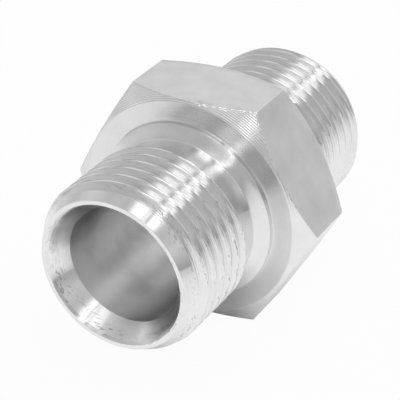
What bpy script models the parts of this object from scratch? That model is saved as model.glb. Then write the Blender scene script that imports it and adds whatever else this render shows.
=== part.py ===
"""Straight hexagon adapter fitting for pipework, as one turned and threaded piece of plated steel.

The fitting is modelled as it is made. A length of hexagon bar and two threaded rods are joined into
rough stock, the turned outline trims that stock to its end chamfers, undercuts, collars and hexagon
chamfers, and the bore with its two coned seats is cut last.

Frame: metres, +Z up. The fitting lies on one flat of its hexagon with its axis along Y, the front end
towards -Y, and the origin is under the middle of its length. A station is a distance along Y.
"""

import math

import bmesh
import bpy
from mathutils import Matrix, Vector

MM = 0.001

# Hexagon
ACROSS_FLATS = 22.0 * MM
HEX_WIDTH = 7.8 * MM
FRONT_FACE_INSET = 0.25 * MM
REAR_FACE_INSET = 0.2 * MM
FRONT_CHAMFER_ANGLE = math.radians(30.0)
REAR_CHAMFER_ANGLE = math.radians(38.0)

# Threaded ends, measured from the faces of the hexagon, with the chamfer's angle from the axis
END_LENGTH = 13.05 * MM
END_CHAMFER = 1.05 * MM
END_CHAMFER_ANGLE = math.radians(30.0)

# Parallel pipe thread with 19 threads to the inch, right handed
THREAD_DIAMETER = 16.66 * MM
THREAD_PITCH = 1.337 * MM
FLANK_ANGLE = math.radians(27.5)
CREST_FLAT = 0.25 * MM
FRONT_THREAD_SHIFT = 0.35 * MM
REAR_THREAD_SHIFT = 0.14 * MM

# Collar on each face of the hexagon, and the undercut between it and the thread
COLLAR_STEP = 0.47 * MM
COLLAR_WALL = 0.54 * MM
COLLAR_ANGLE = math.radians(25.0)
UNDERCUT_RELIEF = 0.05 * MM
UNDERCUT_FLOOR = 2.16 * MM
UNDERCUT_ANGLE = math.radians(45.0)

# Bore and coned seats, each with a broken edge between the flat rim and the seat
WALL_UNDER_THREAD = 1.88 * MM
RIM_WIDTH = 0.4 * MM
LIP_WIDTH = 0.22 * MM
LIP_DEPTH = 0.28 * MM
SEAT_ANGLE = math.radians(60.0)

# Facets round the axis, and how far a tool reaches past what it cuts
TURNED_FACETS = 96
THREAD_FACETS = 48
BORE_FACETS = 64
TOOL_REACH = 0.5 * MM
MERGE_DISTANCE = 1e-7

# Sizes that follow from those above
HEX_CORNER_RADIUS = ACROSS_FLATS / 2 / math.cos(math.pi / 6)
FRONT_FACE_RADIUS = ACROSS_FLATS / 2 - FRONT_FACE_INSET
REAR_FACE_RADIUS = ACROSS_FLATS / 2 - REAR_FACE_INSET
THREAD_RADIUS = THREAD_DIAMETER / 2
THREAD_DEPTH = (THREAD_PITCH / 2 - CREST_FLAT) / math.tan(FLANK_ANGLE)
ROOT_RADIUS = THREAD_RADIUS - THREAD_DEPTH
UNDERCUT_RADIUS = ROOT_RADIUS - UNDERCUT_RELIEF
COLLAR_RADIUS = THREAD_RADIUS + COLLAR_STEP
COLLAR_CONE = (COLLAR_RADIUS - UNDERCUT_RADIUS) * math.tan(COLLAR_ANGLE)
RIM_RADIUS = THREAD_RADIUS - END_CHAMFER
MOUTH_RADIUS = RIM_RADIUS - RIM_WIDTH
SEAT_RADIUS = MOUTH_RADIUS - LIP_WIDTH
BORE_RADIUS = ROOT_RADIUS - WALL_UNDER_THREAD
HEX_FRONT = -HEX_WIDTH / 2
HEX_REAR = HEX_WIDTH / 2
FRONT_END = HEX_FRONT - END_LENGTH
REAR_END = HEX_REAR + END_LENGTH
AXIS_HEIGHT = ACROSS_FLATS / 2


def clear_scene():
    """Remove whatever the scene holds."""
    for item in list(bpy.data.objects):
        bpy.data.objects.remove(item, do_unlink=True)


def plated_steel():
    """Bright zinc plating on steel."""
    material = bpy.data.materials.new("zinc_plated_steel")
    material.use_nodes = True
    shader = material.node_tree.nodes["Principled BSDF"]
    shader.inputs["Base Color"].default_value = (0.74, 0.74, 0.73, 1.0)
    shader.inputs["Metallic"].default_value = 1.0
    shader.inputs["Roughness"].default_value = 0.28
    return material


def new_object(name, mesh_builder):
    """Link a named object whose mesh comes from a filled bmesh, with its faces turned outwards."""
    bmesh.ops.recalc_face_normals(mesh_builder, faces=mesh_builder.faces[:])
    mesh = bpy.data.meshes.new(name)
    mesh_builder.to_mesh(mesh)
    mesh_builder.free()
    made = bpy.data.objects.new(name, mesh)
    bpy.context.scene.collection.objects.link(made)
    return made


def turned(name, profile, facets):
    """A solid of revolution about the Y axis, from (radius, station) points that start and end on it."""
    builder = bmesh.new()
    corners = [builder.verts.new((radius, station, 0.0)) for radius, station in profile]
    edges = [builder.edges.new(pair) for pair in zip(corners, corners[1:])]
    bmesh.ops.spin(
        builder,
        geom=corners + edges,
        cent=(0.0, 0.0, 0.0),
        axis=(0.0, 1.0, 0.0),
        dvec=(0.0, 0.0, 0.0),
        angle=2 * math.pi,
        steps=facets,
    )
    bmesh.ops.remove_doubles(builder, verts=builder.verts[:], dist=MERGE_DISTANCE)
    return new_object(name, builder)


def hexagon_bar(name, start, end):
    """Hexagon bar along Y between two stations, with one flat underneath."""
    builder = bmesh.new()
    bmesh.ops.create_cone(
        builder,
        cap_ends=True,
        segments=6,
        radius1=HEX_CORNER_RADIUS,
        radius2=HEX_CORNER_RADIUS,
        depth=end - start,
        matrix=Matrix.Translation((0.0, (start + end) / 2, 0.0))
        @ Matrix.Rotation(math.pi / 2, 4, "X")
        @ Matrix.Rotation(math.pi / 6, 4, "Z"),
    )
    return new_object(name, builder)


def thread_profile(start, turns):
    """Points (radius, station) of a truncated thread, from one root to the next for each turn."""
    flank = THREAD_DEPTH * math.tan(FLANK_ANGLE)
    points = []
    for turn in range(turns):
        foot = start + turn * THREAD_PITCH
        points += [
            (ROOT_RADIUS, foot),
            (THREAD_RADIUS, foot + flank),
            (THREAD_RADIUS, foot + flank + CREST_FLAT),
            (ROOT_RADIUS, foot + 2 * flank + CREST_FLAT),
        ]
    points.append((ROOT_RADIUS, start + turns * THREAD_PITCH))
    return points


def close_end(builder, rim, station):
    """Fan an open helical rim to a point on the axis at a station."""
    centre = builder.verts.new((0.0, station, 0.0))
    for edge in rim:
        builder.faces.new((edge.verts[0], edge.verts[1], centre))


def threaded_rod(name, start, end, shift):
    """A closed rod whose right-hand thread covers all of start to end, moved along it by a shift."""
    turns = math.ceil((end - start) / THREAD_PITCH) + 2
    first = start - 2 * THREAD_PITCH + shift
    last = first + (turns + 1) * THREAD_PITCH
    builder = bmesh.new()
    profile = thread_profile(first, turns)
    corners = [builder.verts.new((radius, station, 0.0)) for radius, station in profile]
    edges = [builder.edges.new(pair) for pair in zip(corners, corners[1:])]
    bmesh.ops.spin(
        builder,
        geom=corners + edges,
        cent=(0.0, 0.0, 0.0),
        axis=(0.0, 1.0, 0.0),
        dvec=(0.0, THREAD_PITCH / THREAD_FACETS, 0.0),
        angle=2 * math.pi,
        steps=THREAD_FACETS,
    )
    bmesh.ops.remove_doubles(builder, verts=builder.verts[:], dist=MERGE_DISTANCE)
    open_edges = [edge for edge in builder.edges if edge.is_boundary]
    middle = (first + last) / 2
    close_end(builder, [edge for edge in open_edges if edge.verts[0].co.y < middle], first - TOOL_REACH)
    close_end(builder, [edge for edge in open_edges if edge.verts[0].co.y > middle], last + TOOL_REACH)
    return new_object(name, builder)


def combine(body, tool, operation):
    """Apply one Boolean to a body and discard the tool."""
    step = body.modifiers.new(operation.lower(), "BOOLEAN")
    step.operation = operation
    step.solver = "EXACT"
    step.object = tool
    graph = bpy.context.evaluated_depsgraph_get()
    result = bpy.data.meshes.new_from_object(body.evaluated_get(graph))
    body.modifiers.remove(step)
    body.data = result
    bpy.data.objects.remove(tool, do_unlink=True)


def end_outline(end, hex_face, outward):
    """Turned outline of one end, from its rim back to the collar's foot on the hexagon.

    The thread's own crests lie inside it, so only the chamfer and the undercut touch them.
    """
    clear_of_thread = THREAD_RADIUS + TOOL_REACH
    collar_top = hex_face + outward * COLLAR_WALL
    floor_start = collar_top + outward * COLLAR_CONE
    floor_end = floor_start + outward * UNDERCUT_FLOOR
    slope = (clear_of_thread - UNDERCUT_RADIUS) / math.tan(UNDERCUT_ANGLE)
    chamfer = (clear_of_thread - RIM_RADIUS) / math.tan(END_CHAMFER_ANGLE)
    return [
        (0.0, end),
        (RIM_RADIUS, end),
        (clear_of_thread, end - outward * chamfer),
        (clear_of_thread, floor_end + outward * slope),
        (UNDERCUT_RADIUS, floor_end),
        (UNDERCUT_RADIUS, floor_start),
        (COLLAR_RADIUS, collar_top),
        (COLLAR_RADIUS, hex_face),
    ]


def outer_outline():
    """Turned outline of the whole fitting, front rim to rear rim."""
    clear_of_corners = HEX_CORNER_RADIUS + TOOL_REACH
    front_drop = (clear_of_corners - FRONT_FACE_RADIUS) * math.tan(FRONT_CHAMFER_ANGLE)
    rear_drop = (clear_of_corners - REAR_FACE_RADIUS) * math.tan(REAR_CHAMFER_ANGLE)
    hexagon = [
        (FRONT_FACE_RADIUS, HEX_FRONT),
        (clear_of_corners, HEX_FRONT + front_drop),
        (clear_of_corners, HEX_REAR - rear_drop),
        (REAR_FACE_RADIUS, HEX_REAR),
    ]
    front = end_outline(FRONT_END, HEX_FRONT, -1.0)
    rear = end_outline(REAR_END, HEX_REAR, 1.0)
    return front + hexagon + rear[::-1]


def bore_outline():
    """Turned outline of the through bore with a lip and a coned seat at each end."""
    seat_depth = (SEAT_RADIUS - BORE_RADIUS) / math.tan(SEAT_ANGLE / 2)
    outer_radius = MOUTH_RADIUS + TOOL_REACH * LIP_WIDTH / LIP_DEPTH
    front_seat = FRONT_END + LIP_DEPTH
    rear_seat = REAR_END - LIP_DEPTH
    return [
        (0.0, FRONT_END - TOOL_REACH),
        (outer_radius, FRONT_END - TOOL_REACH),
        (SEAT_RADIUS, front_seat),
        (BORE_RADIUS, front_seat + seat_depth),
        (BORE_RADIUS, rear_seat - seat_depth),
        (SEAT_RADIUS, rear_seat),
        (outer_radius, REAR_END + TOOL_REACH),
        (0.0, REAR_END + TOOL_REACH),
    ]


def undercut_middle(hex_face, outward):
    """Station in the middle of an undercut's floor, where bar and threaded rod meet unseen."""
    return hex_face + outward * (COLLAR_WALL + COLLAR_CONE + UNDERCUT_FLOOR / 2)


def adapter_body():
    """Join the stock, trim it to the turned outline and cut the bore."""
    front_joint = undercut_middle(HEX_FRONT, -1.0)
    rear_joint = undercut_middle(HEX_REAR, 1.0)
    body = hexagon_bar("adapter_body", front_joint, rear_joint)
    front_rod = threaded_rod("front_rod", FRONT_END, front_joint, FRONT_THREAD_SHIFT)
    rear_rod = threaded_rod("rear_rod", rear_joint, REAR_END, REAR_THREAD_SHIFT)
    combine(body, front_rod, "UNION")
    combine(body, rear_rod, "UNION")
    combine(body, turned("turned_outline", outer_outline(), TURNED_FACETS), "INTERSECT")
    combine(body, turned("bore", bore_outline(), BORE_FACETS), "DIFFERENCE")
    body.data.shade_smooth()
    body.data.set_sharp_from_angle(angle=math.radians(20.0))
    body.data.materials.clear()
    body.data.materials.append(plated_steel())
    body.location = Vector((0.0, 0.0, AXIS_HEIGHT))
    return body


def main():
    """Build the fitting."""
    clear_scene()
    adapter_body()


main()
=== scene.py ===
"""The hexagon adapter fitting, dressed for its portrait: a zinc-plated turning on a white studio table.

The fitting is modelled as a lathe and a die would make it. Profiles are drawn point by point, spun or
screwed about the axis, turned down to their true outline and joined into one closed skin, which then
takes the place of the plain CAD node.
"""

import logging
import math
from dataclasses import dataclass, field
from enum import Enum
from functools import reduce

import bpy
import numpy as np
from mathutils import Matrix, Vector

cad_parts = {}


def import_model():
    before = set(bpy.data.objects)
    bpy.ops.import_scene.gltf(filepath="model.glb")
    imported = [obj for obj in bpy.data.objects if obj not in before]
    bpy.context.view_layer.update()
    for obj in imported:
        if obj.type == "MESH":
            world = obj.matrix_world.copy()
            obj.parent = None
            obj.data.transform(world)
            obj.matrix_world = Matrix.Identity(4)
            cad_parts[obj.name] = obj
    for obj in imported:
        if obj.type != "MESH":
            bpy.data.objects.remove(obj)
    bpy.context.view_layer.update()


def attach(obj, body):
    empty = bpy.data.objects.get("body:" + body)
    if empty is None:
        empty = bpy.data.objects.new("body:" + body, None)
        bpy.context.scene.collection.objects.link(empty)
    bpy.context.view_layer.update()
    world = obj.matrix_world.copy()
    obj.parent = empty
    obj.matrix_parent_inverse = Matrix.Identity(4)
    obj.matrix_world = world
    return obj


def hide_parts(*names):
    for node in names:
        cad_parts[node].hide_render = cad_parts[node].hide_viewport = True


log = logging.getLogger("adapter_scene")

MM = 0.001
# Height of the fitting's axis over the table it lies on
AXIS_HEIGHT = 11.0 * MM
# Columns of vertices round the axis, a multiple of 12
COLUMNS = 240
# Vertices closer together than this are one
WELD_DISTANCE = 1.2e-6
# A face whose middle is this close to a surface is part of it
ON_SURFACE = 0.02 * MM
# Creases that bend by less than this are shaded smooth
SMOOTH_ANGLE = math.radians(38.0)

Point = tuple[float, float]
Range = tuple[float, float]
Triple = tuple[float, float, float]
Socket = bpy.types.NodeSocket


class Zone(Enum):
    """Which cutter or tool left a surface, and so which finish it takes."""

    TURNED = 0
    THREAD = 1
    DRAWN = 2
    BORE = 3
    CHAMFER = 4
    SEAT = 5
    FACE = 6


def column_angles() -> np.ndarray:
    """Angles of the columns of vertices round the axis, closer together at the hexagon's corners.

    Returns:
        COLUMNS angles in radians, from +X round towards -Z.
    """
    near_corner = [0.0, 0.14, 0.28, 0.6, 1.3, 2.6]
    in_half_a_side = COLUMNS // 12
    spread = np.linspace(near_corner[-1], 30.0, in_half_a_side - len(near_corner) + 2)[1:]
    offsets = np.concatenate([near_corner, spread])
    sixth = np.concatenate([offsets, 60.0 - offsets[-2:0:-1]])
    return np.radians(np.concatenate([corner + sixth for corner in range(0, 360, 60)]))


def deselect_all() -> None:
    """Leave edit mode and deselect every object."""
    if bpy.context.object and bpy.context.object.mode != "OBJECT":
        bpy.ops.object.mode_set(mode="OBJECT")
    bpy.ops.object.select_all(action="DESELECT")


def draw_profile(name: str, points: list[Point]) -> bpy.types.Object:
    """Draw a line of edges in the plane z = 0 by extruding one vertex from point to point.

    Args:
        name: Name of the new object.
        points: (radius, station) of each point.

    Returns:
        The object that holds the line, at the origin.
    """
    deselect_all()
    radius, station = points[0]
    bpy.ops.mesh.primitive_plane_add(size=MM, location=(radius, station, 0.0))
    piece = bpy.context.object
    piece.name = name
    bpy.ops.object.mode_set(mode="EDIT")
    bpy.ops.mesh.merge(type="CENTER")
    for (radius, station), (next_radius, next_station) in zip(points, points[1:]):
        step = (next_radius - radius, next_station - station, 0.0)
        bpy.ops.mesh.extrude_vertices_move(TRANSFORM_OT_translate={"value": step})
    bpy.ops.object.mode_set(mode="OBJECT")
    bpy.ops.object.transform_apply(location=True, rotation=False, scale=False)
    return piece


def rounded(points: list[Point], radii: list[float], steps: int = 3) -> list[Point]:
    """Round the corners of a line.

    Args:
        points: Corners of the line, its two ends among them.
        radii: Radius at each point, 0 where the corner stays sharp.
        steps: Segments of each rounding.

    Returns:
        The points of the rounded line.
    """
    line = [points[0]]
    for before, corner, after, radius in zip(points, points[1:], points[2:], radii[1:]):
        if radius <= 0.0:
            line.append(corner)
            continue
        here = np.array(corner)
        back = np.array(before) - here
        ahead = np.array(after) - here
        back_way = back / np.linalg.norm(back)
        ahead_way = ahead / np.linalg.norm(ahead)
        half = math.acos(max(-1.0, min(1.0, float(back_way @ ahead_way)))) / 2
        centre_way = (back_way + ahead_way) / np.linalg.norm(back_way + ahead_way)
        centre = here + centre_way * radius / math.sin(half)
        start = here + back_way * radius / math.tan(half) - centre
        end = here + ahead_way * radius / math.tan(half) - centre
        sweep = math.pi - 2 * half
        for step in range(steps + 1):
            share = step / steps
            mixed = (start * math.sin((1 - share) * sweep) + end * math.sin(share * sweep)) / math.sin(sweep)
            line.append(tuple(float(value) for value in centre + mixed))
    line.append(points[-1])
    return line


def spaced(points: list[Point], longest: float) -> list[Point]:
    """Add points so that no span of a line is longer than the longest allowed, in metres."""
    line = [points[0]]
    for start, end in zip(points, points[1:]):
        length = math.dist(start, end)
        parts = max(1, math.ceil(length / longest - 1e-6))
        for part in range(1, parts + 1):
            share = part / parts
            line.append((start[0] + (end[0] - start[0]) * share, start[1] + (end[1] - start[1]) * share))
    return line


def coordinates(piece: bpy.types.Object) -> np.ndarray:
    """Vertex coordinates of a piece as an array of rows."""
    values = np.zeros(len(piece.data.vertices) * 3)
    piece.data.vertices.foreach_get("co", values)
    return values.reshape(-1, 3)


def place_vertices(
    piece: bpy.types.Object, radius: np.ndarray, station: np.ndarray, angle: np.ndarray
) -> None:
    """Move every vertex to its radius, station along Y and angle from +X round towards -Z."""
    moved = np.stack([radius * np.cos(angle), station, -radius * np.sin(angle)], axis=1)
    piece.data.vertices.foreach_set("co", moved.ravel())
    piece.data.update()


def weld(piece: bpy.types.Object) -> None:
    """Merge the vertices of a piece that lie in one place and turn its faces outwards."""
    deselect_all()
    piece.select_set(True)
    bpy.context.view_layer.objects.active = piece
    bpy.ops.object.mode_set(mode="EDIT")
    bpy.ops.mesh.select_all(action="SELECT")
    bpy.ops.mesh.remove_doubles(threshold=WELD_DISTANCE)
    bpy.ops.mesh.dissolve_degenerate(threshold=WELD_DISTANCE / 10)
    bpy.ops.mesh.select_all(action="SELECT")
    bpy.ops.mesh.normals_make_consistent(inside=False)
    bpy.ops.object.mode_set(mode="OBJECT")


def set_zone(piece: bpy.types.Object, zone: Zone) -> None:
    """Give every face of a piece the material index of a zone."""
    piece.data.polygons.foreach_set("material_index", [zone.value] * len(piece.data.polygons))


def spun(name: str, points: list[Point]) -> bpy.types.Object:
    """Spin a profile of (radius, station) points once round the axis, in COLUMNS columns of vertices."""
    piece = draw_profile(name, points)
    bpy.ops.object.mode_set(mode="EDIT")
    bpy.ops.mesh.select_all(action="SELECT")
    bpy.ops.mesh.spin(steps=COLUMNS, angle=2 * math.pi, center=(0.0, 0.0, 0.0), axis=(0.0, 1.0, 0.0))
    bpy.ops.mesh.select_all(action="SELECT")
    bpy.ops.mesh.remove_doubles(threshold=WELD_DISTANCE)
    bpy.ops.object.mode_set(mode="OBJECT")
    return piece


def rows_and_columns(piece: bpy.types.Object, points: list[Point]) -> tuple[np.ndarray, np.ndarray]:
    """Find the row and column of every vertex of a spun piece.

    Args:
        piece: A piece straight from spun.
        points: The profile it was spun from.

    Returns:
        The index into points, and the column, of each vertex.
    """
    place = coordinates(piece)
    radius = np.hypot(place[:, 0], place[:, 2])
    profile = np.array(points)
    gap = np.abs(radius[:, None] - profile[None, :, 0]) + np.abs(place[:, 1, None] - profile[None, :, 1])
    angle = np.arctan2(-place[:, 2], place[:, 0])
    column = np.rint(angle / (2 * math.pi) * COLUMNS).astype(int) % COLUMNS
    return gap.argmin(axis=1), column


@dataclass
class TurnedBore:
    """The inside of the fitting: a rim and coned seat at each end and the bore between them."""

    front_end: float = -16.95 * MM
    rear_end: float = 16.95 * MM
    rim_radius: float = 7.28 * MM
    mouth_radius: float = 6.88 * MM
    seat_radius: float = 6.66 * MM
    lip_depth: float = 0.28 * MM
    bore_radius: float = 5.646 * MM
    seat_angle: float = math.radians(60.0)
    chamfer_angle: float = math.radians(30.0)
    chamfer_start: float = 0.1 * MM
    edge: float = 0.04 * MM
    lip_round: float = 0.08 * MM
    bore_lead: float = 1.0 * MM
    mouth_span: float = 0.3 * MM
    bore_span: float = 2.2 * MM
    bore_share: float = 1.004

    def rim_joint(self, end: float, inward: float) -> Point:
        """Radius and station where this skin meets the threaded one, on the end chamfer."""
        out = self.chamfer_start * math.sin(self.chamfer_angle)
        back = self.chamfer_start * math.cos(self.chamfer_angle)
        return self.rim_radius + out, end + inward * back

    def mouth(self, end: float, inward: float) -> list[Point]:
        """Profile of one mouth, from its end chamfer to the start of the bore.

        Args:
            end: Station of the end face.
            inward: 1 where the fitting lies towards +Y from it, else -1.
        """
        depth = self.lip_depth + (self.seat_radius - self.bore_radius) / math.tan(self.seat_angle / 2)
        corners = [
            self.rim_joint(end, inward),
            (self.rim_radius, end),
            (self.mouth_radius, end),
            (self.seat_radius, end + inward * self.lip_depth),
            (self.bore_radius, end + inward * depth),
            (self.bore_radius, end + inward * (depth + self.bore_lead)),
        ]
        line = rounded(corners, [0.0, self.edge, self.lip_round, self.lip_round, self.edge, 0.0])
        return spaced(line, self.mouth_span)

    def build(self) -> bpy.types.Object:
        """Spin the rims, seats and bore as one skin, open where the threaded ends join it."""
        front = self.mouth(self.front_end, 1.0)
        rear = self.mouth(self.rear_end, -1.0)
        between = spaced([front[-1], rear[-1]], self.bore_span)
        points = front + between[1:-1] + rear[::-1]
        piece = spun("bore_skin", points)
        row, column = rows_and_columns(piece, points)
        profile = np.array(points)
        place_vertices(piece, profile[row, 0], profile[row, 1], column_angles()[column])
        set_zone(piece, Zone.TURNED)
        for face in piece.data.polygons:
            radius = math.hypot(face.center.x, face.center.z)
            if radius < self.bore_radius * self.bore_share:
                face.material_index = Zone.BORE.value
            elif radius < self.seat_radius:
                face.material_index = Zone.SEAT.value
        return piece


@dataclass
class ThreadedEnd:
    """One male thread with its end chamfer and the slope into its undercut.

    Attributes:
        low_radius: Radius of the turned outline at its end of least Y, low_station.
        low_slope: How fast the outline widens from there.
        high_radius: Radius of the turned outline at its end of most Y, high_station.
        high_slope: How fast the outline widens from there.
        first_foot: Station of the foot of a flank at the angle 0.
    """

    name: str
    low_radius: float
    low_station: float
    low_slope: float
    high_radius: float
    high_station: float
    high_slope: float
    first_foot: float
    seed: int
    radius: float = 8.33 * MM
    root_radius: float = 7.526 * MM
    pitch: float = 1.337 * MM
    crest_flat: float = 0.25 * MM
    flank_angle: float = math.radians(27.5)
    crest_round: float = 0.05 * MM
    root_round: float = 0.12 * MM
    longest_span: float = 0.4 * MM
    wear: float = 0.0288 * MM
    wear_reach: float = 0.12 * MM
    wear_waves: int = 14

    def half_root(self) -> float:
        """Half the width of a root's flat."""
        flank = (self.radius - self.root_radius) * math.tan(self.flank_angle)
        return (self.pitch - self.crest_flat - 2 * flank) / 2

    def one_pitch(self) -> list[Point]:
        """Points of one groove and crest, from the middle of a root to just before the next."""
        flank = (self.radius - self.root_radius) * math.tan(self.flank_angle)
        half_root = self.half_root()
        corners = [
            (self.root_radius, 0.0),
            (self.root_radius, half_root),
            (self.radius, half_root + flank),
            (self.radius, half_root + flank + self.crest_flat),
            (self.root_radius, half_root + 2 * flank + self.crest_flat),
            (self.root_radius, self.pitch),
        ]
        rounds = [0.0, self.root_round, self.crest_round, self.crest_round, self.root_round, 0.0]
        line = rounded(corners, rounds, steps=2)
        return spaced(line, self.longest_span)[:-1]

    def build(self, angles: np.ndarray) -> bpy.types.Object:
        """Screw the profile round the axis and turn the skin down to its chamfer and undercut."""
        start = self.first_foot - self.half_root()
        turns = math.ceil((self.high_station - self.low_station) / self.pitch) + 2
        points = [
            (radius, station + start + turn * self.pitch)
            for turn in range(turns)
            for radius, station in self.one_pitch()
        ]
        piece = draw_profile(self.name, points)
        bpy.ops.object.modifier_add(type="SCREW")
        screw = piece.modifiers[-1]
        screw.axis = "Y"
        screw.angle = 2 * math.pi
        screw.steps = COLUMNS
        screw.render_steps = COLUMNS
        screw.screw_offset = self.pitch
        screw.use_merge_vertices = False
        bpy.ops.object.modifier_apply(modifier=screw.name)
        self.turn_down(piece, np.array(points), angles)
        set_zone(piece, Zone.THREAD)
        self.mark_turned(piece)
        return piece

    def mark_turned(self, piece: bpy.types.Object) -> None:
        """Give the faces on the end chamfer and on the undercut's slope the turned finish."""
        for face in piece.data.polygons:
            station = face.center.y
            radius = math.hypot(face.center.x, face.center.z)
            if radius > float(self.outline(np.array(station))) - ON_SURFACE:
                face.material_index = Zone.TURNED.value

    def turn_down(self, piece: bpy.types.Object, points: np.ndarray, angles: np.ndarray) -> None:
        """Move each vertex onto the lower of the thread and the turned outline.

        Args:
            piece: The screwed skin, whose vertices run point by point within column by column.
            points: (radius, station) of the profile at the first column.
            angles: Angles of the columns, without the closing one.
        """
        closed = np.append(angles, 2 * math.pi)
        stations = points[None, :, 1] + self.pitch * closed[:, None] / (2 * math.pi)
        radii = np.repeat(points[None, :, 0], len(closed), axis=0)
        radii = radii - self.crest_wear(stations, closed, radii)
        above = radii - self.outline(stations)
        for column, heights in enumerate(above):
            for left in np.nonzero(heights[:-1] * heights[1:] < 0)[0]:
                right = left + 1
                share = heights[left] / (heights[left] - heights[right])
                nearest = left if share < 0.5 else right
                for grid in (stations[column], radii[column]):
                    grid[nearest] = grid[left] + share * (grid[right] - grid[left])
        stations = np.clip(stations, self.low_station, self.high_station)
        radii = np.minimum(radii, self.outline(stations))
        angle = np.repeat(closed[:, None], points.shape[0], axis=1)
        place_vertices(piece, radii.ravel(), stations.ravel(), angle.ravel())

    def outline(self, stations: np.ndarray) -> np.ndarray:
        """Radius of the turned outline at each station, a cone at each end."""
        low = self.low_radius + (stations - self.low_station) * self.low_slope
        high = self.high_radius + (self.high_station - stations) * self.high_slope
        return np.minimum(low, high)

    def crest_wear(self, stations: np.ndarray, angles: np.ndarray, radii: np.ndarray) -> np.ndarray:
        """Depth worn off each vertex near the crests, the same on both sides of the seam.

        Args:
            stations: Station of each vertex, column by column.
            angles: Angle of each column.
            radii: Radius of each vertex before wear.
        """
        draw = np.random.RandomState(self.seed)
        depth = np.zeros_like(stations)
        for _ in range(self.wear_waves):
            waves = draw.randint(3, 60)
            along = draw.uniform(0.5, 3.0) / self.pitch
            shift = draw.uniform(0.0, 2 * math.pi)
            depth += np.sin(waves * angles[:, None] + along * stations + shift) / self.wear_waves
        near_crest = np.clip((radii - self.radius + self.wear_reach) / self.wear_reach, 0.0, 1.0)
        return self.wear * np.abs(depth) * near_crest


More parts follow.
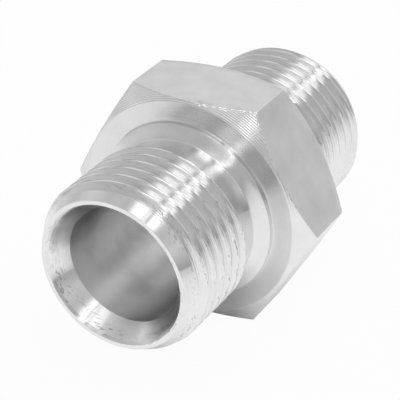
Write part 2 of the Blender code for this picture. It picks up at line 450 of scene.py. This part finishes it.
@dataclass
class HexagonMiddle:
    """The hexagon with its turned faces and chamfers, a collar on each face and the undercut floors."""

    across_flats: float = 22.0 * MM
    front_face: float = -3.9 * MM
    rear_face: float = 3.9 * MM
    front_face_radius: float = 10.75 * MM
    rear_face_radius: float = 10.8 * MM
    front_slope: float = math.tan(math.radians(30.0))
    rear_slope: float = math.tan(math.radians(38.0))
    collar_radius: float = 8.8 * MM
    collar_wall: float = 0.54 * MM
    collar_cone: float = 0.617 * MM
    undercut_radius: float = 7.476 * MM
    undercut_floor: float = 2.16 * MM
    undercut_slope: float = 1.0
    undercut_round: float = 0.2 * MM
    collar_round: float = 0.07 * MM
    collar_foot_round: float = 0.09 * MM
    longest_span: float = 0.45 * MM
    corner_round: float = 0.05 * MM
    edge: float = 0.045 * MM
    edge_side: float = 0.7
    edge_dip: float = 0.18
    burr_height: float = 0.05 * MM
    burr_angles: Range = (266.0, 300.5)
    burr_elsewhere: float = 0.15
    flat_tilt: float = 0.2
    seed: int = 11

    def flat_distance(self, angle: np.ndarray) -> np.ndarray:
        """Radius of the hexagon's side at each angle, 0 at a corner, with the corners rounded."""
        sixth = math.pi / 3
        from_corner = np.abs((np.asarray(angle) + sixth / 2) % sixth - sixth / 2)
        flat = self.across_flats / 2 / np.cos(sixth / 2 - from_corner)
        corner = self.across_flats / 2 / math.cos(sixth / 2)
        centre = corner - self.corner_round / math.cos(sixth / 2)
        side = centre * np.sin(from_corner)
        arc = centre * np.cos(from_corner) + np.sqrt(np.maximum(self.corner_round**2 - side**2, 0.0))
        tangent_angle = math.atan2(self.corner_round * 0.5, centre + self.corner_round * math.cos(sixth / 2))
        return np.where(from_corner < tangent_angle, arc, flat)

    def shoulder(self, face: float, outward: float) -> list[Point]:
        """Profile from the undercut's end to the edge of a face, outward being -1 for the front one."""
        top = face + outward * self.collar_wall
        foot = top + outward * self.collar_cone
        end = foot + outward * self.undercut_floor
        face_radius = self.front_face_radius if outward < 0 else self.rear_face_radius
        corners = [
            (self.undercut_radius, end),
            (self.undercut_radius, foot),
            (self.collar_radius, top),
            (self.collar_radius, face),
            (face_radius - 2 * self.edge, face),
            (face_radius - self.edge, face),
        ]
        rounds = [0.0, self.undercut_round, self.collar_round, self.collar_foot_round, 0.0, 0.0]
        return spaced(rounded(corners, rounds), self.longest_span)

    def profile(self) -> tuple[list[Point], list[tuple[str, float]]]:
        """Profile through a corner of the hexagon, with the rule that places each of its rows.

        Returns:
            The points, and for each a pair (kind, share) that placed reads.
        """
        front = self.shoulder(self.front_face, -1.0)
        rear = self.shoulder(self.rear_face, 1.0)[::-1]
        chamfer_shares = [0.0, 0.12, 0.35, 0.6, 0.85]
        flat_shares = [0.12, 0.3, 0.5, 0.7, 0.88]
        rules = [("fixed", float(index)) for index in range(len(front))]
        rules += [("front_chamfer", share) for share in chamfer_shares]
        rules += [("front_edge", offset) for offset in (-1.0, 0.0, 1.0)]
        rules += [("flat", share) for share in flat_shares]
        rules += [("rear_edge", offset) for offset in (-1.0, 0.0, 1.0)]
        rules += [("rear_chamfer", share) for share in reversed(chamfer_shares)]
        rules += [("fixed", float(len(front) + index)) for index in range(len(rear))]
        fixed = front + rear
        points = [
            fixed[int(share)] if kind == "fixed" else self.placed(kind, share, np.array(0.0))
            for kind, share in rules
        ]
        return [(float(radius), float(station)) for radius, station in points], rules

    def placed(self, kind: str, share: float, angle: np.ndarray) -> tuple[np.ndarray, np.ndarray]:
        """Where one row of the hexagon lies at each angle.

        Args:
            kind: front_chamfer, front_edge, flat, rear_edge or rear_chamfer.
            share: How far along it the row lies, or for an edge its side of the crease.
            angle: Angles about the axis.

        Returns:
            Radius and station at each angle.
        """
        side = self.flat_distance(angle)
        front_crease = self.front_face + (side - self.front_face_radius) * self.front_slope
        rear_crease = self.rear_face - (side - self.rear_face_radius) * self.rear_slope
        if kind == "flat":
            start = front_crease + self.edge
            return side, start + (rear_crease - self.edge - start) * share
        if kind.startswith("front"):
            outward, face, crease = -1.0, self.front_face, front_crease
            face_radius, slope = self.front_face_radius, self.front_slope
        else:
            outward, face, crease = 1.0, self.rear_face, rear_crease
            face_radius, slope = self.rear_face_radius, self.rear_slope
        if kind.endswith("chamfer"):
            radius = face_radius + (side - self.edge - face_radius) * share
            return radius, face - outward * (radius - face_radius) * slope
        onto_chamfer = outward * share
        if onto_chamfer > 0:
            drop, lead = self.edge_side, self.edge_side * slope
        elif onto_chamfer < 0:
            drop, lead = 0.0, -1.0
        else:
            drop, lead = self.edge_dip, -self.edge_dip
        return side - self.edge * drop, crease + outward * self.edge * lead

    def build(self, angles: np.ndarray) -> bpy.types.Object:
        """Spin the profile of a corner and pull the skin in to the flats."""
        points, rules = self.profile()
        piece = spun("hexagon_skin", points)
        row, column = rows_and_columns(piece, points)
        angle = angles[column]
        radius = np.array(points)[row, 0]
        station = np.array(points)[row, 1]
        for index, (kind, share) in enumerate(rules):
            if kind != "fixed":
                mine = row == index
                radius[mine], station[mine] = self.placed(kind, share, angle[mine])
                if kind == "front_edge" and share == 0:
                    radius[mine] += self.burr(angle[mine])
        place_vertices(piece, radius, station, angle)
        set_zone(piece, Zone.TURNED)
        self.mark_flats(piece)
        return piece

    def burr(self, angle: np.ndarray) -> np.ndarray:
        """Height of the burr that the chamfer tool left on the front edge at each angle."""
        draw = np.random.RandomState(self.seed)
        height = draw.uniform(0.0, 1.0, COLUMNS) ** 3 * self.burr_height
        index = np.rint(angle / (2 * math.pi) * (COLUMNS - 1)).astype(int)
        degrees = np.degrees(angle)
        start, end = self.burr_angles
        burred = (degrees > start) & (degrees < end)
        return np.where(burred, height[index], height[index] * self.burr_elsewhere)

    def mark_flats(self, piece: bpy.types.Object) -> None:
        """Give the six flats the drawn finish, and the chamfers and faces round them their own."""
        for face in piece.data.polygons:
            radius = math.hypot(face.center.x, face.center.z)
            if radius > self.across_flats / 2 - ON_SURFACE and abs(face.normal.y) < self.flat_tilt:
                face.material_index = Zone.DRAWN.value
            elif radius > self.rear_face_radius:
                face.material_index = Zone.CHAMFER.value
            elif radius > self.collar_radius:
                face.material_index = Zone.FACE.value


class NodeSheet:
    """A short way to lay out the nodes of one material or world."""

    def __init__(self, tree: bpy.types.NodeTree) -> None:
        """Keep the tree that the nodes go into."""
        self.tree = tree

    def add(self, kind: str, inputs: dict | None = None, **settings: object) -> bpy.types.Node:
        """Add a node.

        Args:
            kind: The node's type.
            inputs: For each input, by name or index, a value or the socket that feeds it.
            settings: Properties of the node.

        Returns:
            The node.
        """
        node = self.tree.nodes.new(kind)
        for name, value in settings.items():
            setattr(node, name, value)
        for key, value in (inputs or {}).items():
            if isinstance(value, Socket):
                self.tree.links.new(value, node.inputs[key])
            else:
                node.inputs[key].default_value = value
        return node

    def maths(self, operation: str, *values: object) -> Socket:
        """Add a Math node and return its output."""
        return self.add("ShaderNodeMath", dict(enumerate(values)), operation=operation).outputs[0]

    def product(self, *values: object) -> Socket:
        """Multiply values and return the output."""
        return reduce(lambda result, value: self.maths("MULTIPLY", result, value), values)

    def most(self, *values: object) -> Socket:
        """Take the greatest of some values and return the output."""
        return reduce(lambda result, value: self.maths("MAXIMUM", result, value), values)

    def vector(self, operation: str, *values: object) -> bpy.types.Node:
        """Add a Vector Math node and return it."""
        return self.add("ShaderNodeVectorMath", dict(enumerate(values)), operation=operation)

    def span(
        self, value: object, low: float, high: float, to_low: float = 0.0, to_high: float = 1.0
    ) -> Socket:
        """Map a value from one range to another and return the output."""
        inputs = {"Value": value, "From Min": low, "From Max": high, "To Min": to_low, "To Max": to_high}
        return self.add("ShaderNodeMapRange", inputs).outputs[0]

    def noise(self, place: Socket, scale: float, detail: float, roughness: float = 0.5) -> Socket:
        """Add soft noise at a place and return the output."""
        inputs = {"Vector": place, "Scale": scale, "Detail": detail, "Roughness": roughness}
        return self.add("ShaderNodeTexNoise", inputs).outputs[0]

    def bump(self, height: Socket, depth: float, normal: Socket | None = None) -> Socket:
        """Bump a normal, or the surface's own, by a height of 0 to 1 times a depth, and return it."""
        inputs = {"Height": height, "Strength": 1.0, "Distance": depth}
        if normal is not None:
            inputs["Normal"] = normal
        return self.add("ShaderNodeBump", inputs).outputs[0]

    def mixed(self, share: object, first: object, second: object) -> Socket:
        """Mix two colours by a share of the second and return the output."""
        inputs = {"Factor": share, 6: first, 7: second}
        return self.add("ShaderNodeMix", inputs, data_type="RGBA").outputs[2]

    def ramp(self, value: object, stops: list[Range]) -> Socket:
        """Turn a value into a grey through (place, brightness) stops and return the output."""
        node = self.add("ShaderNodeValToRGB", {"Fac": value})
        bar = node.color_ramp
        while len(bar.elements) < len(stops):
            bar.elements.new(0.5)
        for element, (place, grey) in zip(bar.elements, stops):
            element.position = place
            element.color = (grey, grey, grey, 1.0)
        return node.outputs["Color"]


def new_material(name: str) -> tuple[bpy.types.Material, NodeSheet]:
    """Make an empty material and the sheet for its nodes."""
    material = bpy.data.materials.new(name)
    material.use_nodes = True
    material.node_tree.nodes.clear()
    return material, NodeSheet(material.node_tree)


@dataclass(frozen=True)
class Places:
    """Where a point of the surface lies, in mm from the middle of the axis.

    Attributes:
        point: The point's coordinates.
        radius: Its distance from the axis.
        station: Its place along the axis.
    """

    point: Socket
    radius: Socket
    station: Socket


@dataclass(frozen=True)
class Damage:
    """Specks, dirt, and torn metal lifted into a painted glint. Each range is where a fade starts and ends,
    in mm or in noise.
    """

    speck_scale: float = 5.5
    speck_drift: float = 0.35
    speck_noise: Range = (0.56, 0.62)
    patch_scale: float = 0.35
    patch_noise: Range = (0.4, 0.6)
    patch_least: float = 0.2
    thread_start: Range = (7.0, 7.2)
    crest_band: Range = (8.15, 8.28)
    mouth_start: Range = (15.0, 15.3)
    outer_band: Range = (7.6, 8.1)
    outer_least: float = 0.1
    lip_radius: float = 6.85
    lip_reach: Range = (0.1, 0.25)
    right_side: Range = (1.0, 6.0)
    front_side: Range = (-2.0, 2.0)
    side_least: float = 0.3
    seat_band: Range = (5.9, 6.4)
    seat_edge: Range = (6.7, 6.8)
    seat_most: float = 0.8
    seat_height: Range = (-1.0, 2.0)
    seat_least: float = 0.25
    torn_glint_scale: float = 4.5
    torn_glint_noise: Range = (0.50, 0.57)
    top_reach: Range = (0.1, 0.2)
    top_start: Range = (0.0, 1.5)
    side_reach: Range = (0.08, 0.18)
    side_start: Range = (3.0, 6.0)
    side_most: float = 0.35
    corner_reach: Range = (0.12, 0.24)
    corner_end: Range = (-3.0, -1.0)
    corner_lift: float = 0.3
    # Normal of the torn spots, turned towards the lamps so that they glint
    glint_facet_way: Triple = (0.429, -0.412, 0.803)

    def specks(self, sheet: NodeSheet, where: Places) -> Socket:
        """Give 1 in the small dark nicks and dirt on the crests, round the mouths and on the seats."""
        parts = sheet.add("ShaderNodeSeparateXYZ", {0: where.point})
        meridian = sheet.add("ShaderNodeCombineXYZ", {"X": where.radius, "Y": where.station}).outputs[0]
        drift = sheet.vector("MULTIPLY", where.point, (self.speck_drift, 0.0, self.speck_drift)).outputs[0]
        ringed = sheet.vector("ADD", meridian, drift).outputs[0]
        spots = sheet.span(sheet.noise(ringed, self.speck_scale, 2.0), *self.speck_noise)
        patches = sheet.noise(where.point, self.patch_scale, 1.0)
        crowd = sheet.span(patches, *self.patch_noise, self.patch_least)
        distance = sheet.maths("ABSOLUTE", where.station)
        on_thread = sheet.span(distance, *self.thread_start)
        crests = sheet.product(sheet.span(where.radius, *self.crest_band), on_thread)
        outer = sheet.span(where.radius, *self.outer_band, self.outer_least)
        off_lip = sheet.maths("ABSOLUTE", sheet.maths("SUBTRACT", where.radius, self.lip_radius))
        lip = sheet.span(off_lip, *self.lip_reach, 1.0, 0.0)
        at_mouth = sheet.span(distance, *self.mouth_start)
        band = sheet.most(crests, sheet.product(sheet.most(outer, lip), at_mouth))
        right = sheet.span(parts.outputs["X"], *self.right_side, self.side_least)
        front = sheet.span(where.station, *self.front_side, 1.0, self.side_least)
        seat = sheet.span(where.radius, *self.seat_band, 0.0, self.seat_most)
        below_lip = sheet.span(where.radius, *self.seat_edge, 1.0, 0.0)
        low = sheet.span(parts.outputs["Z"], *self.seat_height, 1.0, self.seat_least)
        worn = sheet.most(sheet.product(right, band), sheet.product(seat, below_lip, low))
        return sheet.product(spots, crowd, front, worn)

    def torn_and_glint(self, sheet: NodeSheet, where: Places) -> Socket:
        """Give 1 in the torn metal on the front edges of the top and right flats and between them, where it
        is brightened as a painted glint.
        """
        parts = sheet.add("ShaderNodeSeparateXYZ", {0: where.point})
        slope = HexagonMiddle.front_slope
        start = (HexagonMiddle.front_face_radius * slope - HexagonMiddle.front_face) / MM
        cone = sheet.maths("MULTIPLY_ADD", where.radius, -slope, start)
        off_cone = sheet.maths("ABSOLUTE", sheet.maths("ADD", where.station, cone))
        flat = HexagonMiddle.across_flats / 2 / MM
        side_way = (math.cos(math.pi / 6), 0.0, math.sin(math.pi / 6))
        towards_side = sheet.vector("DOT_PRODUCT", where.point, side_way).outputs["Value"]
        off_top = sheet.maths("SUBTRACT", flat, parts.outputs["Z"])
        off_side = sheet.maths("SUBTRACT", flat, towards_side)
        near_top = sheet.product(
            sheet.span(sheet.maths("ADD", off_cone, off_top), *self.top_reach, 1.0, 0.0),
            sheet.span(parts.outputs["X"], *self.top_start),
        )
        near_side = sheet.product(
            sheet.span(sheet.maths("ADD", off_cone, off_side), *self.side_reach, 1.0, 0.0),
            sheet.span(parts.outputs["Z"], *self.side_start, 0.0, self.side_most),
        )
        fading = sheet.span(where.station, *self.corner_end, 0.0, self.corner_lift)
        off_corner = sheet.maths("ADD", sheet.maths("ADD", off_top, off_side), fading)
        near_corner = sheet.span(off_corner, *self.corner_reach, 1.0, 0.0)
        noise = sheet.span(sheet.noise(where.point, self.torn_glint_scale, 1.0), *self.torn_glint_noise)
        return sheet.product(sheet.most(near_top, near_side, near_corner), noise)


@dataclass(frozen=True)
class ZincFinish:
    """Bright zinc plating over one kind of machined surface. Depths are in metres, pitches in mm."""

    name: str
    colour: Triple = (0.80, 0.80, 0.80)
    roughness: float = 0.2
    roughness_spread: float = 0.03
    anisotropy: float = 0.9
    lay_turn: float = 0.25
    lay_drift: float = 0.05
    mark_scale: float = 8.0
    mark_depth: float = 2.2e-6
    feed_pitch: float = 0.3
    feed_depth: float = 0.0
    grain_scale: float = 9.0
    grain_depth: float = 0.3e-6
    speck_depth: float = 0.0
    speck_tone: float = 0.5
    is_torn_and_glinting: bool = False
    # Brightness of the torn spots, a painted glint
    glint_tone: float = 1.2
    # How far the cloud varies the colour: random tone, and in the bore a painted shade and reflection
    tone_and_shade_spread: float = 0.05
    cloud_scale: float = 0.45
    # Where the cloud lies; in the bore it places the painted shade and reflection
    shade_cloud_shift: Triple = (0.0, 0.0, 0.0)
    damage: Damage = Damage()

    def places(self, sheet: NodeSheet) -> Places:
        """Add the nodes that give the surface's coordinates."""
        place = sheet.add("ShaderNodeTexCoord").outputs["Object"]
        from_axis = sheet.vector("SUBTRACT", place, (0.0, 0.0, AXIS_HEIGHT)).outputs[0]
        point = sheet.vector("MULTIPLY", from_axis, (1.0 / MM,) * 3).outputs[0]
        across = sheet.vector("MULTIPLY", point, (1.0, 0.0, 1.0)).outputs[0]
        radius = sheet.vector("LENGTH", across).outputs["Value"]
        station = sheet.add("ShaderNodeSeparateXYZ", {0: point}).outputs["Y"]
        return Places(point, radius, station)

    def tool_marks(self, sheet: NodeSheet, where: Places) -> Socket:
        """Give the noise of fine uneven rings that run round the axis."""
        meridian = sheet.add("ShaderNodeCombineXYZ", {"X": where.radius, "Y": where.station}).outputs[0]
        drift = sheet.vector("MULTIPLY", where.point, (self.lay_drift, 0.0, self.lay_drift)).outputs[0]
        lay = sheet.vector("ADD", meridian, drift).outputs[0]
        return sheet.noise(lay, self.mark_scale, 3.0, 0.65)

    def lay_direction(self, sheet: NodeSheet, where: Places) -> Socket:
        """Direction round the axis at each point, in world coordinates."""
        parts = sheet.add("ShaderNodeSeparateXYZ", {0: where.point})
        backwards = sheet.product(parts.outputs["X"], -1.0)
        along = sheet.add("ShaderNodeCombineXYZ", {"X": parts.outputs["Z"], "Z": backwards}).outputs[0]
        way = sheet.vector("NORMALIZE", along).outputs[0]
        settings = {"vector_type": "VECTOR", "convert_from": "OBJECT", "convert_to": "WORLD"}
        return sheet.add("ShaderNodeVectorTransform", {0: way}, **settings).outputs[0]

    def relief(
        self, sheet: NodeSheet, where: Places, marks: Socket, specks: Socket | None, torn_and_glint: Socket | None
    ) -> Socket:
        """Bump the normal by the tool marks, the feed, the plating's grain, the specks, and the tears, whose
        facets turn towards the lamps to glint.
        """
        normal = sheet.bump(marks, self.mark_depth)
        if self.feed_depth > 0.0:
            travel = sheet.maths("ADD", where.radius, where.station)
            turns = sheet.product(travel, 2 * math.pi / self.feed_pitch)
            normal = sheet.bump(sheet.maths("SINE", turns), self.feed_depth, normal)
        grain = sheet.noise(where.point, self.grain_scale, 2.0)
        normal = sheet.bump(grain, self.grain_depth, normal)
        if specks is not None:
            normal = sheet.bump(specks, self.speck_depth, normal)
        if torn_and_glint is not None:
            inputs = {"Factor": torn_and_glint, 4: normal, 5: self.damage.glint_facet_way}
            facets = sheet.add("ShaderNodeMix", inputs, data_type="VECTOR").outputs[1]
            normal = sheet.vector("NORMALIZE", facets).outputs[0]
        return normal

    def tone(self, sheet: NodeSheet, cloud: Socket, specks: Socket | None, torn_and_glint: Socket | None) -> Socket:
        """Colour of the plating: clouded (in the bore, a painted shade and reflection), darker in the
        specks, and brighter in the torn spots as a painted glint.
        """
        shade = sheet.span(cloud, 0.25, 0.75, 1.0 - self.tone_and_shade_spread, 1.0 + self.tone_and_shade_spread)
        shade = sheet.maths("MINIMUM", shade, 1.0 / max(self.colour))
        if specks is not None:
            shade = sheet.product(shade, sheet.span(specks, 0.0, 1.0, 1.0, 1.0 - self.speck_tone))
        if torn_and_glint is not None:
            # Torn spots lifted towards white: a painted glint
            shade = sheet.most(shade, sheet.product(torn_and_glint, self.glint_tone))
        tinted = sheet.vector("SCALE", self.colour)
        sheet.tree.links.new(shade, tinted.inputs["Scale"])
        return tinted.outputs[0]

    def material(self) -> bpy.types.Material:
        """Lay out the finish as shader nodes on Object coordinates."""
        material, sheet = new_material(self.name)
        where = self.places(sheet)
        marks = self.tool_marks(sheet, where)
        shifted = sheet.vector("ADD", where.point, self.shade_cloud_shift).outputs[0]
        cloud = sheet.noise(shifted, self.cloud_scale, 3.0)
        uneven = sheet.maths("MULTIPLY_ADD", cloud, 0.5, sheet.product(marks, 0.5))
        smoothest = self.roughness - self.roughness_spread
        roughest = self.roughness + self.roughness_spread
        specks = self.damage.specks(sheet, where) if self.speck_depth > 0.0 else None
        torn_and_glint = self.damage.torn_and_glint(sheet, where) if self.is_torn_and_glinting else None
        shader = sheet.add(
            "ShaderNodeBsdfPrincipled",
            {
                "Base Color": self.tone(sheet, cloud, specks, torn_and_glint),
                "Metallic": 1.0,
                "Roughness": sheet.span(uneven, 0.3, 0.7, smoothest, roughest),
                "Anisotropic": self.anisotropy,
                "Anisotropic Rotation": self.lay_turn,
                "Tangent": self.lay_direction(sheet, where),
                "Normal": self.relief(sheet, where, marks, specks, torn_and_glint),
            },
        )
        sheet.add("ShaderNodeOutputMaterial", {"Surface": shader.outputs[0]})
        return material


def finishes() -> dict[Zone, ZincFinish]:
    """The finish of each zone."""
    return {
        Zone.TURNED: ZincFinish("turned_zinc", roughness=0.17, speck_depth=4.0e-6),
        Zone.THREAD: ZincFinish(
            "thread_zinc",
            roughness=0.15,
            mark_depth=1.5e-6,
            feed_pitch=0.27,
            feed_depth=2.0e-6,
            speck_depth=4.0e-6,
        ),
        Zone.DRAWN: ZincFinish(
            "drawn_zinc",
            roughness=0.34,
            anisotropy=0.3,
            lay_turn=0.0,
            mark_depth=0.0,
            grain_depth=0.5e-6,
            tone_and_shade_spread=0.08,
            is_torn_and_glinting=True,
        ),
        Zone.BORE: ZincFinish(
            # Brighter than the outer zinc, painted light in the recess, and clouded strongly to paint the
            # bright band and dark sides of its reflection
            "bore_zinc_painted_light_and_shade",
            colour=(0.88, 0.88, 0.88),
            roughness=0.33,
            anisotropy=0.8,
            mark_depth=0.0,
            tone_and_shade_spread=0.4,
            cloud_scale=0.17,
            shade_cloud_shift=(20.0, 11.0, 5.0),
        ),
        Zone.CHAMFER: ZincFinish(
            "chamfer_zinc", roughness=0.18, feed_pitch=0.27, feed_depth=1.2e-5, is_torn_and_glinting=True
        ),
        Zone.SEAT: ZincFinish(
            "seat_zinc_painted_light",
            # Brighter than the outer zinc: painted light on the seat in the mouth's shade
            colour=(0.86, 0.86, 0.86),
            feed_pitch=0.4,
            feed_depth=3.0e-6,
            speck_depth=4.0e-6,
        ),
        Zone.FACE: ZincFinish(
            "face_zinc_painted_shade",
            # Darker than the other zinc: painted shade on the hexagon's faces
            colour=(0.755, 0.755, 0.755),
            roughness=0.22,
            anisotropy=0.95,
            mark_depth=0.8e-6,
        ),
    }


@dataclass
class AdapterFitting:
    """The whole fitting: its bore, its hexagon and its two threads, joined into one skin."""

    bore: TurnedBore = field(default_factory=TurnedBore)
    middle: HexagonMiddle = field(default_factory=HexagonMiddle)
    finishes: dict[Zone, ZincFinish] = field(default_factory=finishes)

    def threads(self) -> list[ThreadedEnd]:
        """The two threaded ends, fitted between the rims and the undercuts."""
        front_rim, front_joint = self.bore.rim_joint(self.bore.front_end, 1.0)
        rear_rim, rear_joint = self.bore.rim_joint(self.bore.rear_end, -1.0)
        chamfer_slope = math.tan(self.bore.chamfer_angle)
        floor_front = self.middle.front_face - self.middle.collar_wall - self.middle.collar_cone
        floor_rear = self.middle.rear_face + self.middle.collar_wall + self.middle.collar_cone
        front = ThreadedEnd(
            name="front_thread_skin",
            low_radius=front_rim,
            low_station=front_joint,
            low_slope=chamfer_slope,
            high_radius=self.middle.undercut_radius,
            high_station=floor_front - self.middle.undercut_floor,
            high_slope=self.middle.undercut_slope,
            first_foot=-19.274 * MM,
            seed=3,
        )
        rear = ThreadedEnd(
            name="rear_thread_skin",
            low_radius=self.middle.undercut_radius,
            low_station=floor_rear + self.middle.undercut_floor,
            low_slope=self.middle.undercut_slope,
            high_radius=rear_rim,
            high_station=rear_joint,
            high_slope=chamfer_slope,
            first_foot=4.94 * MM,
            seed=5,
        )
        return [front, rear]

    def build(self) -> bpy.types.Object:
        """Build and dress every skin, join them and weld the seams."""
        angles = column_angles()
        skins = [self.bore.build(), self.middle.build(angles)]
        skins += [thread.build(angles) for thread in self.threads()]
        materials = [self.finishes[zone].material() for zone in Zone]
        for skin in skins:
            for material in materials:
                skin.data.materials.append(material)
            log.info("%s: %d faces", skin.name, len(skin.data.polygons))
        deselect_all()
        for skin in skins:
            skin.select_set(True)
        body = skins[0]
        bpy.context.view_layer.objects.active = body
        bpy.ops.object.join()
        body.name = "dressed_adapter_body"
        weld(body)
        body.location = (0.0, 0.0, AXIS_HEIGHT)
        deselect_all()
        body.select_set(True)
        bpy.context.view_layer.objects.active = body
        bpy.ops.object.transform_apply(location=True, rotation=False, scale=False)
        bpy.ops.object.shade_smooth_by_angle(angle=SMOOTH_ANGLE)
        return body


@dataclass(frozen=True)
class Studio:
    """White table, soft lights that only the metal's reflections show, and the camera.

    Attributes:
        table_seen: Share of plain white in what the camera sees of the table.
        table_near: Brightness of the table beside the fitting in the metal's reflections.
        table_far: The same well away from it.
        table_white: How white the table is where the fitting's shadow and shade show on it.
        squeeze: How much distance along the fitting counts against distance across it.
        near_range: Distances between which the table fades from near to far, in metres.
        contact_range: Distances between which it fades from shaded to bright, in metres.
        levels: Brightness of the lights in front of the fitting, beside it and behind it, at
            directions round its axis in degrees, from 0 on the right through 90 overhead.
    """

    camera_place: Triple = (0.06413, -0.11196, 0.08628)
    camera_forward: Triple = (-0.4326, 0.7438, -0.5095)
    camera_up: Triple = (-0.2499, 0.4441, 0.8604)
    lens: float = 143.15
    table_size: float = 4.0
    table_seen: float = 0.95
    table_near: float = 1.00
    table_far: float = 0.75
    table_white: float = 0.9
    squeeze: float = 0.55
    near_range: Range = (0.03, 0.12)
    contact_range: Range = (0.005, 0.012)
    levels: tuple[tuple[float, float, float, float], ...] = (
        (-180, 0.60, 0.70, 0.60),
        (-90, 0.60, 0.60, 0.60),
        (0, 0.35, 0.38, 0.53),
        (25, 0.51, 0.88, 0.59),
        (45, 0.49, 0.69, 0.62),
        (53, 0.46, 0.84, 0.58),
        (57, 0.42, 1.83, 1.49),
        (61, 0.74, 2.22, 0.92),
        (67, 2.15, 1.18, 0.82),
        (70, 0.28, 0.00, 2.72),
        (72, 2.60, 0.52, 0.04),
        (75, 0.11, 1.62, 0.85),
        (79, 0.94, 2.06, 0.99),
        (84, 0.85, 1.63, 1.27),
        (89, 0.67, 1.84, 1.55),
        (94, 0.73, 0.61, 1.28),
        (99, 0.95, 0.35, 0.92),
        (106, 0.54, 0.67, 0.34),
        (120, 0.54, 0.55, 0.78),
        (140, 0.51, 0.73, 0.91),
        (160, 0.56, 0.82, 0.16),
        (180, 0.69, 0.39, 1.16),
    )

    def camera(self) -> None:
        """Stand the camera where the photograph was taken from."""
        data = bpy.data.cameras.new("portrait_camera")
        data.sensor_width = 36.0
        data.lens = self.lens
        data.clip_start = 0.01
        data.clip_end = 20.0
        camera = bpy.data.objects.new("portrait_camera", data)
        back = -Vector(self.camera_forward).normalized()
        right = Vector(self.camera_up).cross(back).normalized()
        up = back.cross(right)
        turn = Matrix((right, up, back)).transposed().to_4x4()
        camera.matrix_world = Matrix.Translation(self.camera_place) @ turn
        bpy.context.scene.collection.objects.link(camera)
        bpy.context.scene.camera = camera

    def table(self) -> None:
        """Lay a white table that keeps the fitting's shadow."""
        deselect_all()
        bpy.ops.mesh.primitive_grid_add(x_subdivisions=8, y_subdivisions=8, size=self.table_size)
        table = bpy.context.object
        table.name = "table"
        material, sheet = new_material("white_table")
        path = sheet.add("ShaderNodeLightPath")
        seen = sheet.product(path.outputs["Is Camera Ray"], self.table_seen)
        place = sheet.add("ShaderNodeTexCoord").outputs["Object"]
        squeezed = sheet.vector("MULTIPLY", place, (1.0, self.squeeze, 0.0)).outputs[0]
        away = sheet.vector("LENGTH", squeezed).outputs["Value"]
        level = sheet.span(away, *self.near_range, self.table_near, self.table_far)
        paint = sheet.add("ShaderNodeBsdfDiffuse", {"Color": (self.table_white,) * 3 + (1.0,)})
        strength = sheet.most(path.outputs["Is Camera Ray"], level)
        glow = sheet.add("ShaderNodeEmission", {"Color": (1.0, 1.0, 1.0, 1.0), "Strength": strength})
        mirrored = sheet.product(path.outputs["Is Glossy Ray"], sheet.span(away, *self.contact_range))
        share = sheet.most(seen, mirrored)
        mixed = sheet.add("ShaderNodeMixShader", {0: share, 1: paint.outputs[0], 2: glow.outputs[0]})
        sheet.add("ShaderNodeOutputMaterial", {"Surface": mixed.outputs[0]})
        table.data.materials.append(material)

    def room(self) -> None:
        """Light the fitting with bands of soft light that run round its axis, behind a white view."""
        world = bpy.data.worlds.new("soft_room")
        bpy.context.scene.world = world
        world.use_nodes = True
        world.node_tree.nodes.clear()
        sheet = NodeSheet(world.node_tree)
        way = sheet.add("ShaderNodeTexCoord").outputs["Generated"]
        parts = sheet.add("ShaderNodeSeparateXYZ", {0: way})
        around = sheet.maths("ARCTAN2", parts.outputs["Z"], parts.outputs["X"])
        share = sheet.maths("MULTIPLY_ADD", around, 0.5 / math.pi, 0.5)
        top = max(max(row[1:]) for row in self.levels)
        front, middle, back = (
            sheet.ramp(share, [((row[0] + 180) / 360, row[column] / top) for row in self.levels])
            for column in (1, 2, 3)
        )
        to_middle = sheet.span(parts.outputs["Y"], -0.5, 0.0)
        to_back = sheet.span(parts.outputs["Y"], 0.0, 0.5)
        before = sheet.mixed(to_middle, front, middle)
        light = sheet.vector("SCALE", sheet.mixed(to_back, before, back))
        light.inputs["Scale"].default_value = top
        lit = sheet.add("ShaderNodeBackground", {"Color": light.outputs[0], "Strength": 1.0})
        white = sheet.add("ShaderNodeBackground", {"Color": (1.0, 1.0, 1.0, 1.0), "Strength": 1.0})
        seen = sheet.add("ShaderNodeLightPath").outputs["Is Camera Ray"]
        mixed = sheet.add("ShaderNodeMixShader", {0: seen, 1: lit.outputs[0], 2: white.outputs[0]})
        sheet.add("ShaderNodeOutputWorld", {"Surface": mixed.outputs[0]})

    def build(self) -> None:
        """Set up the table, the room, the camera and the plain view transform."""
        self.table()
        self.room()
        self.camera()
        bpy.context.scene.view_settings.view_transform = "Standard"


def main() -> None:
    """Build the fitting over the CAD frame, then the studio."""
    logging.basicConfig(level=logging.INFO, format="%(name)s: %(message)s")
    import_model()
    body = AdapterFitting().build()
    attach(body, "root")
    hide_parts("adapter_body")
    log.info("%s: %d faces", body.name, len(body.data.polygons))
    Studio().build()


if __name__ == "__main__":
    main()
